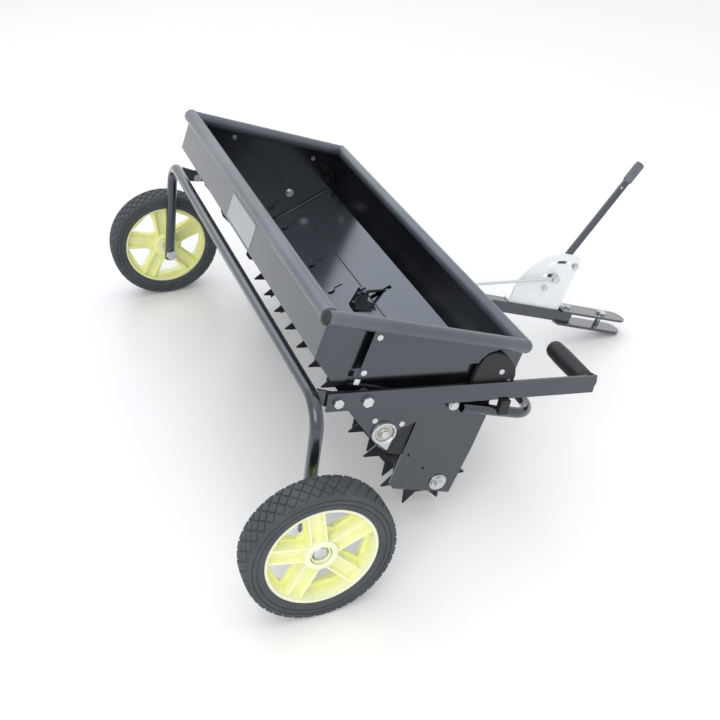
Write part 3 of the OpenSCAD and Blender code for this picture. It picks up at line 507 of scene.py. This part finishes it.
def tread_block(bm, angle, row):
    """One diamond block, wrapped round the crown."""
    pitch = 2 * math.pi * tyre_r / blocks
    base = bmesh.ops.create_circle(bm, cap_ends=True, segments=4, radius=1)["verts"]
    bmesh.ops.scale(bm, vec=(block_half, pitch / 2 - 1, 1), verts=base)
    top = pulled(bm, list(base[0].link_faces))
    bmesh.ops.scale(bm, vec=(block_taper, block_taper, 1), verts=top)
    for v in base + top:
        x = max(edge_keep - tyre_half, min(tyre_half - edge_keep, v.co.x + row))
        a = angle + v.co.y / tyre_r
        r = crown_radius(x) + (block_rise if v in top else -1)
        v.co = (x, -r * math.sin(a), r * math.cos(a))


for side_name, side in sides:
    bm = bmesh.new()
    turned(bm, carcass, 96, closed=True)
    for k, row in enumerate(rows):
        for i in range(blocks):
            tread_block(bm, (i + 0.5 * (k % 2)) * 2 * math.pi / blocks, row)
    settle(bm, side, axle)
    put(f"tyre_{side_name}_diamond_tread", bm, tyre_rubber, f"{side_name}_wheel",
        (f"tyre_{side_name}",), sharp=30)

# %% [markdown]
# The **moulded wheels** are the CAD nodes: a web with windows, a hub and five
# channel spokes. A moulder also gives the rim and the hub a thick round lip,
# which keeps thin plastic from splitting. Both lips are small turned rings.

# %% Wheel lips
hub_face, rim_lip = 20, 23
rim_bead = [(rim_lip - 2, 89.6), (rim_lip + 0.6, 90), (rim_lip + 1.4, 91.4), (rim_lip + 1.4, 93.4),
            (rim_lip + 0.6, 94.7), (rim_lip - 2, 94.8)]
hub_bead = [(hub_face - 3, 18.7), (hub_face + 0.4, 18.8), (hub_face + 1.6, 20.4), (hub_face + 1.8, 23),
            (hub_face + 1.4, 26), (hub_face - 0.6, 28), (hub_face - 3, 28.5)]
for side_name, side in sides:
    bm = bmesh.new()
    turned(bm, rim_bead, 96, closed=True)
    turned(bm, hub_bead, 64, closed=True)
    settle(bm, side, axle)
    put(f"wheel_{side_name}_lips", bm, lime, f"{side_name}_wheel")

# %% [markdown]
# A **collar and a push cap** fill the sunk middle of each hub: a plastic ring and
# a pressed metal dome that hides the axle nut. The dome is a thin shell, because
# the nut stands still inside it while the wheel turns.

# %% Hub caps
collar = [(7.2, 14.8), (7.2, 17.4), (15, 17.2), (17, 16.3), (17, 14.9), (15.6, 14.1)]
dome = [(16.8, 0), (16.5, 6.5), (15.4, 10.6), (13.2, 12.6), (8.2, 12.9), (7.4, 14.4),
        (7.1, 14.4), (7.1, 12.2), (13, 11.9), (14.8, 10.2), (15.7, 6.2), (16, 0)]
for side_name, side in sides:
    bm = bmesh.new()
    turned(bm, collar, 48, closed=True)
    settle(bm, side, axle)
    put(f"hub_collar_{side_name}", bm, lime, f"{side_name}_wheel", (f"cap_{side_name}",))
    bm = bmesh.new()
    turned(bm, dome, 40)
    settle(bm, side, axle)
    put(f"push_cap_{side_name}", bm, zinc, f"{side_name}_wheel")

# %% [markdown]
# The **lift grip** is a dipped vinyl sleeve, pushed over a round bar: a domed end,
# a slight belly for the palm, two finger grooves and a lip against the flat bar.
# It is one turned profile, drawn for a 30 mm sleeve, then swelled to about 34 mm,
# and set on the end of the lift bar.

# %% Lift grip
bar_lean, grip_at, grip_out, grip_in = 10.8, 423, 330, 455
grip_r, swell = 15, 1.15
sleeve = [(grip_out, 0), (grip_out + 0.5, 5), (grip_out + 2.2, 9.4), (grip_out + 5.4, 12.8),
          (grip_out + 10, 14.4), (grip_out + 20, 14.8), (grip_out + 40, grip_r + 0.4),
          (grip_in - 22, 14.9), (grip_in - 16, 14.8)]
for groove in (grip_in - 13, grip_in - 9):
    sleeve += [(groove - 0.8, 14.8), (groove, 14), (groove + 1, 14), (groove + 1.8, 14.8)]
sleeve += [(grip_in - 5, grip_r + 0.2), (grip_in - 4, grip_r + 1.4), (grip_in - 0.8, grip_r + 1.4),
           (grip_in, 14.6), (grip_in, 0)]
bm = bmesh.new()
turned(bm, [(x, swell * r) for x, r in sleeve], 48)
lay(bm, leaning(pivot_mm.y, pivot_mm.z, bar_lean) @ Matrix.Translation((0, grip_at, 0)))
put("lift_grip_sleeve", bm, vinyl, "lift_frame", ("lever_grip",))

# %% [markdown]
# The **flow grip** is a moulded cap on the flat lever. A block gets a round top
# and softer lower corners, then all its edges are rounded, and three shallow
# ribs are set across each broad face where the thumb rests.

# %% Flow grip
flow_pivot, lever_lean = machine_point("flow_lever_turn"), 72
cap_low, cap_top, cap_half, cap_left, cap_right = 280, 328, 10, -3, 7
rib_half, rib_proud, rib_wide, rib_step = 6, 0.5, 2.4, 6
bm = bmesh.new()
block(bm, (cap_left, cap_low, -cap_half), (cap_right, cap_top, cap_half))
across = [e for e in bm.edges if abs(e.verts[0].co.x - e.verts[1].co.x) > 1]
top_edges = [e for e in across if e.verts[0].co.y > cap_low + 1]
low_edges = [e for e in across if e.verts[0].co.y < cap_low + 1]
round_edges(bm, top_edges, 7, 6)
round_edges(bm, low_edges, 3, 3)
soften(bm, bm.verts, 2, 3)
for k in range(3):
    rib_y = cap_low + 16 + rib_step * k
    rib = block(bm, (cap_left - rib_proud, rib_y, -rib_half),
                (cap_right + rib_proud, rib_y + rib_wide, rib_half))
    soften(bm, rib, 0.6)
bmesh.ops.transform(bm, matrix=leaning(flow_pivot.y, flow_pivot.z, lever_lean), verts=bm.verts)
put("flow_grip_cap", bm, grip_grey, "flow_lever_body", ("flow_grip",))

# %% [markdown]
# The **roller chain** drives the agitator from the star shaft. Its path is two
# equal half circles and two straight runs, and 42 links of about 12.8 mm share it
# out. A link is a roller and two long plates, drawn with few faces; every second
# pair of plates sits further out, as the outer plates do.

# %% Roller chain
agitator, star = machine_point("agitator_spin"), machine_point("star_spin")
chain_x, chain_r, links = -458.5, 31, 42
plate_r, plate_thick, roller_r, roller_long, inner_gap, outer_gap = 4.3, 1.1, 3.9, 10, 3, 4.3
run = star - agitator
run.x = 0
straight, half_turn = run.length, math.pi * chain_r
link_step = 2 * (straight + half_turn) / links
run_turn = math.atan2(run.z, run.y)


def chain_place(way):
    """Point and heading way millimetres along the chain, in the chain's own plane."""
    if way < straight:
        return (way, chain_r), 0
    way -= straight
    if way < half_turn:
        turn = way / chain_r
        return (straight + chain_r * math.sin(turn), chain_r * math.cos(turn)), -turn
    way -= half_turn
    if way < straight:
        return (straight - way, -chain_r), -math.pi
    turn = (way - straight) / chain_r
    return (-chain_r * math.sin(turn), -chain_r * math.cos(turn)), -math.pi - turn


def link_plate(bm, x):
    """A long plate with round ends, between two pins."""
    verts = bmesh.ops.create_circle(bm, cap_ends=True, segments=12, radius=plate_r)["verts"]
    for v in verts:
        v.co.x += math.copysign(link_step / 2, v.co.x)
    outer = pulled(bm, list(verts[0].link_faces))
    bmesh.ops.translate(bm, vec=(0, 0, plate_thick), verts=outer)
    bmesh.ops.translate(bm, vec=(0, 0, x - plate_thick / 2), verts=verts + outer)
    return verts + outer


bm = bmesh.new()
upright = Matrix(((0, 0, 1), (1, 0, 0), (0, 1, 0))).to_4x4()
chain_plane = (Matrix.Translation((chain_x, agitator.y, agitator.z))
               @ Matrix.Rotation(run_turn, 4, "X") @ upright)
for k in range(links):
    roller = bmesh.ops.create_cone(bm, cap_ends=True, segments=10, radius1=roller_r, radius2=roller_r,
                                   depth=roller_long)["verts"]
    bmesh.ops.translate(bm, vec=(link_step / 2, 0, 0), verts=roller)
    gap = inner_gap if k % 2 else outer_gap
    link = roller + link_plate(bm, gap) + link_plate(bm, -gap)
    point, heading = chain_place((k + 0.5) * link_step)
    on_path = Matrix.Translation((*point, 0)) @ Matrix.Rotation(heading, 4, "Z")
    bmesh.ops.transform(bm, matrix=chain_plane @ on_path, verts=link)
bmesh.ops.recalc_face_normals(bm, faces=bm.faces)
put("roller_chain", bm, chain_steel, "frame", ("drive_chain",))

# %% [markdown]
# The **agitator bearings** are pressed cups: a drop-shaped flange, a raised round
# rim and a bronze bush in the middle. The flange is the convex hull of two rings
# and a tip, which gives the straight flanks of the drop. Rim and bush are turned.

# %% Agitator bearings
plate_out, cup_r, shaft_r = 443.5, 22, 6.35
tip_point = Vector((19, -34))
cup_rim = [(1, 15.6), (4.6, 16.4), (6, 17.6), (6.4, 19), (6, 20.6), (4.6, 21.6), (1, 21.9)]
bush = [(0.5, shaft_r + 0.15), (5.4, shaft_r + 0.15), (6, shaft_r + 0.8), (6, 9.2), (5.2, 10), (2.8, 10.6),
        (2.4, 15.8), (0.5, 15.8)]
for side_name, side in sides:
    bm = bmesh.new()
    for x in (0, 2):
        ring = bmesh.ops.create_circle(bm, segments=48, radius=cup_r)["verts"]
        bmesh.ops.transform(bm, matrix=Matrix.Translation((x, 0, 0)) @ upright, verts=ring)
        bm.verts.new((x, tip_point.x, tip_point.y))
    bmesh.ops.convex_hull(bm, input=bm.verts)
    bmesh.ops.dissolve_limit(bm, angle_limit=math.radians(1), verts=bm.verts, edges=bm.edges)
    soften(bm, bm.verts, 0.6)
    turned(bm, cup_rim, 48, closed=True)
    settle(bm, side, (plate_out, agitator.y, agitator.z))
    put(f"bearing_cup_{side_name}", bm, zinc, "frame", ("agitator_bearings",))
    bm = bmesh.new()
    turned(bm, bush, 40, closed=True)
    settle(bm, side, (plate_out, agitator.y, agitator.z))
    put(f"bearing_bush_{side_name}", bm, bronze, "frame")

# %% [markdown]
# The **rolled rim** is the edge of the sheet, turned outward round a wire. It is a
# round bead with soft, domed ends, a little thicker than the plain CAD tube inside
# it. The right end bead runs past the corner to the rear and is closed by a black
# plug. Each bead is a turned profile that is laid along its side of the hopper.

# %% Rolled rim
domed = [(0, 0), (0.7, 0.37), (2.6, 0.68), (5.6, 0.9), (9.4, 1)]
square = [(0, 0), (0, 0.95), (0.6, 1)]
corner_x, end_x, end_z, front_y = 454, 442.1, -1.9, 193.7
right_y, left_y, rear_length = -190, -182, 890
rear_at, front_at, rear_r, roll_r = (-183.6, -2.2), (181.4, -1.6), 14.4, 12.3
to_front = Matrix.Rotation(math.radians(90), 4, "Z")
on_right = Matrix.Translation((end_x, right_y, end_z))
on_left = Matrix.Translation((-end_x, left_y, end_z))
on_rear = Matrix.Translation((-corner_x, *rear_at))
on_front = Matrix.Translation((-corner_x, *front_at))
beads = (("rear", on_rear, rear_length, rear_r, domed, square),
         ("front", on_front, 2 * corner_x, roll_r, domed, domed),
         ("right", on_right @ to_front, front_y - right_y, roll_r, square, domed),
         ("left", on_left @ to_front, front_y - left_y, roll_r, square, domed))
for bead_name, way, length, r, start, end in beads:
    bm = bmesh.new()
    profile = start + [(length - x, share) for x, share in reversed(end)]
    turned(bm, [(x, share * r) for x, share in profile], 48)
    lay(bm, way)
    put(f"rolled_rim_{bead_name}", bm, rim_enamel_painted_highlight, "frame")
plug = [(-3, 0), (-3, 11), (0, 11.4), (0.3, 12.5), (1, 12.9), (3.4, 12.9), (4.4, 12.2),
        (6.8, 10.4), (8.4, 7), (9.2, 3.5), (9.4, 0)]
bm = bmesh.new()
turned(bm, plug, 40)
lay(bm, on_right @ to_front.inverted())
put("rim_plug_right", bm, vinyl, "frame")

# %% [markdown]
# ** Corner boots** of matt black rubber close the folded front corners of the end
# walls; their matt black is partly painted shade, the deep shade in the arch of each
# skirt. A thin black sheet of the same rubber lies on the end wall in the notch of each
# side plate: it is painted shade. Both are flat outlines that are pulled out to a
# thickness; the outer edge is then rounded. They are drawn for the right side and mirrored.

# %% Corner boots
arch = [(104, -84), (102.6, -62), (103.6, -44), (108.6, -28), (118, -19), (128, -17),
        (142, -18.4), (156, -24.4), (168, -32), (177, -42), (182, -54), (183, -84)]
notch = [(9.8, -190), (36.5, -171.6), (36.5, -238), (12, -238), (6.6, -230)]
boot_out = 453.4
# Both sheets are matt black as painted shade: the flap wholly, the boot in part.
rubber_sheets = (("corner_boot_painted_shade", arch, 444, boot_out, 3.4), ("painted_shade_flap", notch, 440, 441, 0.3))
for side_name, side in sides:
    for piece, outline, low, high, edge_r in rubber_sheets:
        bm = bmesh.new()
        flat = bm.faces.new([bm.verts.new((low, y, z)) for y, z in outline])
        bmesh.ops.translate(bm, vec=(high - low, 0, 0), verts=pulled(bm, [flat]))
        bmesh.ops.recalc_face_normals(bm, faces=bm.faces)
        ridge = [e for e in bm.edges if min(v.co.x for v in e.verts) > high - 0.1]
        round_edges(bm, ridge, edge_r, 4)
        settle(bm, side, (0, 0, 0))
        put(f"{piece}_{side_name}", bm, vinyl, "frame", sharp=60)

# %% [markdown]
# A **blank label plate** sits on the rear wall where such machines carry their
# notes. It is a thin silver film with round corners and a fine raised border,
# and stays without words. Its brushed finish is a noise stretched along the film.

# %% Label plate
film, tree, shader, place = new_finish("brushed_silver_label_film")
along = add(tree, "ShaderNodeMapping", {"Vector": place, "Scale": (1, 30, 30)}).outputs[0]
brush = noise(tree, along, 30, 3)
fill(tree, shader, {"Base Color": blend(tree, brush, "#a3a8ab", "#c4c8ca"), "Metallic": 0.3,
                    "Roughness": 0.45})
rear_wall, film_thick = -186, 0.7
label_left, label_right, label_low, label_top = -73, 75, -68, -21.5
bm = bmesh.new()
block(bm, (label_left, rear_wall - film_thick, label_low), (label_right, rear_wall, label_top))
corners = [e for e in bm.edges if abs(e.verts[0].co.y - e.verts[1].co.y) > 0.5]
round_edges(bm, corners, 5, 5)
face = [f for f in bm.faces if f.calc_center_median().y < rear_wall - film_thick + 0.01]
bmesh.ops.inset_region(bm, faces=face, thickness=2.2, depth=0, use_even_offset=True)
bmesh.ops.inset_region(bm, faces=face, thickness=0.4, depth=-0.3, use_even_offset=True)
put("blank_label_plate", bm, film, "frame", sharp=20)

# %% [markdown]
# Inside the hopper, on the front slope: a **cover strip** with two bolts bridges
# the lugs that the flow rod pulls on, and keeps seed out of the joint. It leans
# against the slope and rides with the shutter. The fittings of the slope are drawn
# in its own frame, with Y running up to the front wall and Z standing on the sheet.

# %% Shutter cover strip
front_foot, floor_edge = Vector((0, 186, -95.5)), Vector((0, 48.9, -222))
fall = front_foot - floor_edge
on_slope = leaning(front_foot.y, front_foot.z, math.degrees(math.atan2(fall.z, fall.y)))


def dome_bolt(bm, at, r, h):
    """A round-head bolt on a washer, standing on the point at along Z; returns its verts."""
    washer = bmesh.ops.create_cone(bm, cap_ends=True, segments=20, radius1=1.6 * r, radius2=1.5 * r,
                                   depth=1.2)["verts"]
    bmesh.ops.translate(bm, vec=(0, 0, 0.6), verts=washer)
    head = bmesh.ops.create_uvsphere(bm, u_segments=16, v_segments=8, radius=r)["verts"]
    bmesh.ops.scale(bm, vec=(1, 1, h / r), verts=head)
    bmesh.ops.translate(bm, vec=(0, 0, 1), verts=head)
    bmesh.ops.translate(bm, vec=at, verts=washer + head)
    return washer + head


strip_left, strip_right, strip_long, strip_thick = 5, 29, 42, 2
strip_foot, strip_lift, strip_lean = -127, 5, 36
bm = bmesh.new()
strip = block(bm, (strip_left, 0, 0), (strip_right, strip_long, strip_thick))
soften(bm, strip, 0.8)
for bolt_y in (10, 31):
    dome_bolt(bm, ((strip_left + strip_right) / 2, bolt_y, strip_thick), 3.6, 2.6)
strip_frame = leaning(strip_foot, strip_lift, strip_lean)
bmesh.ops.transform(bm, matrix=on_slope @ strip_frame, verts=bm.verts)
put("shutter_cover_strip", bm, tube_enamel, "shutter_body")

# %% [markdown]
# **Slope flanges** run along both ends of the slope, where the end walls are folded
# in. A thin **felt seal** lies along the shutter's upper edge, and a folded **guard**
# below the rod's slot keeps dirt out of the hopper: a box with two sides taken off
# and its sheet given a thickness.

# %% Slope fittings
flange_x, flange_wide, flange_thick = 431, 6.6, 3
flange_foot, flange_head, sheet_top = -150, -8, 1.6
for side_name, side in sides:
    bm = bmesh.new()
    flange = block(bm, (flange_x, flange_foot, sheet_top),
                   (flange_x + flange_wide, flange_head, sheet_top + flange_thick))
    soften(bm, flange, 1.3, 3)
    bmesh.ops.transform(bm, matrix=on_slope, verts=bm.verts)
    settle(bm, side, (0, 0, 0))
    put(f"slope_flange_{side_name}", bm, tube_enamel, "frame")

seal_half, seal_low, seal_wide, seal_base, seal_thick = 320, -85.2, 2.6, 1.5, 0.22
bm = bmesh.new()
block(bm, (-seal_half, seal_low, seal_base),
      (seal_half, seal_low + seal_wide, seal_base + seal_thick))
bmesh.ops.transform(bm, matrix=on_slope, verts=bm.verts)
put("shutter_felt_seal", bm, vinyl, "frame")

guard_left, guard_right, guard_rear, guard_front = 4, 30, -92, -16
guard_low, guard_top, guard_sheet = -40, -0.4, 1.5
bm = bmesh.new()
block(bm, (guard_left, guard_rear, guard_low), (guard_right, guard_front, guard_top))
open_sides = [f for f in bm.faces if f.calc_center_median().z > guard_top - 0.6
              or f.calc_center_median().y > guard_front - 1]
bmesh.ops.delete(bm, geom=open_sides, context="FACES")
bmesh.ops.solidify(bm, geom=bm.faces, thickness=guard_sheet)
lay(bm, on_slope)
put("rod_slot_guard", bm, tube_enamel, "frame")

# %% [markdown]
# The same round-head bolt, pressed flat, holds the corner boots, and a **spring
# clip**, a folded strip of zinc sheet, pinches the rear lower corner of each skirt.

# %% Boot bolts and skirt clips
boot_bolts, bolt_flat, bolt_sunk = ((151, -50), (173, -66)), 0.3, 0.2
clip_low, clip_high = (450.6, -112, -106), (454.2, -102, -95)
for side_name, side in sides:
    bm = bmesh.new()
    for y, z in boot_bolts:
        bolt = dome_bolt(bm, (0, 0, 0), 3.2, 2.4)
        bmesh.ops.scale(bm, vec=(1, 1, bolt_flat), verts=bolt)
        on_boot = Matrix.Translation((boot_out - bolt_sunk, y, z)) @ upright
        bmesh.ops.transform(bm, matrix=on_boot, verts=bolt)
    clip = block(bm, clip_low, clip_high)
    soften(bm, clip, 0.8)
    settle(bm, side, (0, 0, 0))
    put(f"boot_bolts_and_clip_{side_name}", bm, zinc, "frame")

# %% [markdown]
# The stage is a plain pale floor, wide enough to fill the view. A little glow, seen
# only by the camera and in mirrors, lifts its white without lighting the machine.

# %% Floor
floor_half, floor_glow = 12, 0.04


def seen_directly(tree):
    """1 for rays from the camera, a mirror or glass, 0 for light that falls on a surface."""
    ray = add(tree, "ShaderNodeLightPath").outputs
    mirrored = maths(tree, "MAXIMUM", ray["Is Camera Ray"], ray["Is Glossy Ray"])
    return maths(tree, "MAXIMUM", mirrored, ray["Is Transmission Ray"])


floor_finish, tree, shader, place = new_finish("pale_studio_floor")
fill(tree, shader, {
    "Base Color": blend(tree, noise(tree, place, 400, 3), "#f8f9fa", "#fcfcfd"),
    "Roughness": 0.3,
    "Specular IOR Level": 0.3,
    "Emission Color": (1, 1, 1, 1),
    "Emission Strength": maths(tree, "MULTIPLY", seen_directly(tree), floor_glow),
})
bm = bmesh.new()
bmesh.ops.create_grid(bm, x_segments=1, y_segments=1, size=floor_half)
mesh = bpy.data.meshes.new("floor")
bm.to_mesh(mesh)
bm.free()
mesh.materials.append(floor_finish)
floor = bpy.data.objects.new("floor", mesh)
scene.collection.objects.link(floor)
print("floor", 2 * floor_half, "m wide")

# %% [markdown]
# The light is soft: a white room, which is brighter to the camera and in mirrors
# than as light, a wide lamp overhead, one panel high on the left, which the hopper's
# slope mirrors, and one by the camera.

# %% Room and lamps
room_light, room_seen = 0.76, 1
world = bpy.data.worlds.new("white_room")
scene.world = world
world.use_nodes = True
tree = world.node_tree
fill(tree, tree.nodes["Background"], {
    "Color": (1, 1, 1, 1),
    "Strength": ramp(tree, seen_directly(tree), 0, 1, room_light, room_seen),
})


def soft_panel(name, at, aim, width, height, watts, tint="#ffffff"):
    """A soft lamp that faces the point aim."""
    lamp = bpy.data.lights.new(name, "AREA")
    lamp.shape = "RECTANGLE"
    lamp.size, lamp.size_y = width, height
    lamp.energy = watts
    lamp.color = paint_code(tint)[:3]
    panel = bpy.data.objects.new(name, lamp)
    turn = (Vector(at) - Vector(aim)).to_track_quat("Z", "Y").to_matrix().to_4x4()
    panel.matrix_world = Matrix.Translation(at) @ turn
    scene.collection.objects.link(panel)


soft_panel("overhead_softbox", (0.3, 0.2, 3.2), (0.3, 0.2, 0), 4, 4, 26)
soft_panel("left_softbox", (-2.4, -0.6, 2.35), (0, 0, 0.45), 2.6, 2, 15, "#e4efff")
soft_panel("camera_side_softbox", (2.6, -1.7, 2.2), (0, 0, 0.4), 2.4, 2, 36)
print("room and", len(bpy.data.lights), "soft lamps")
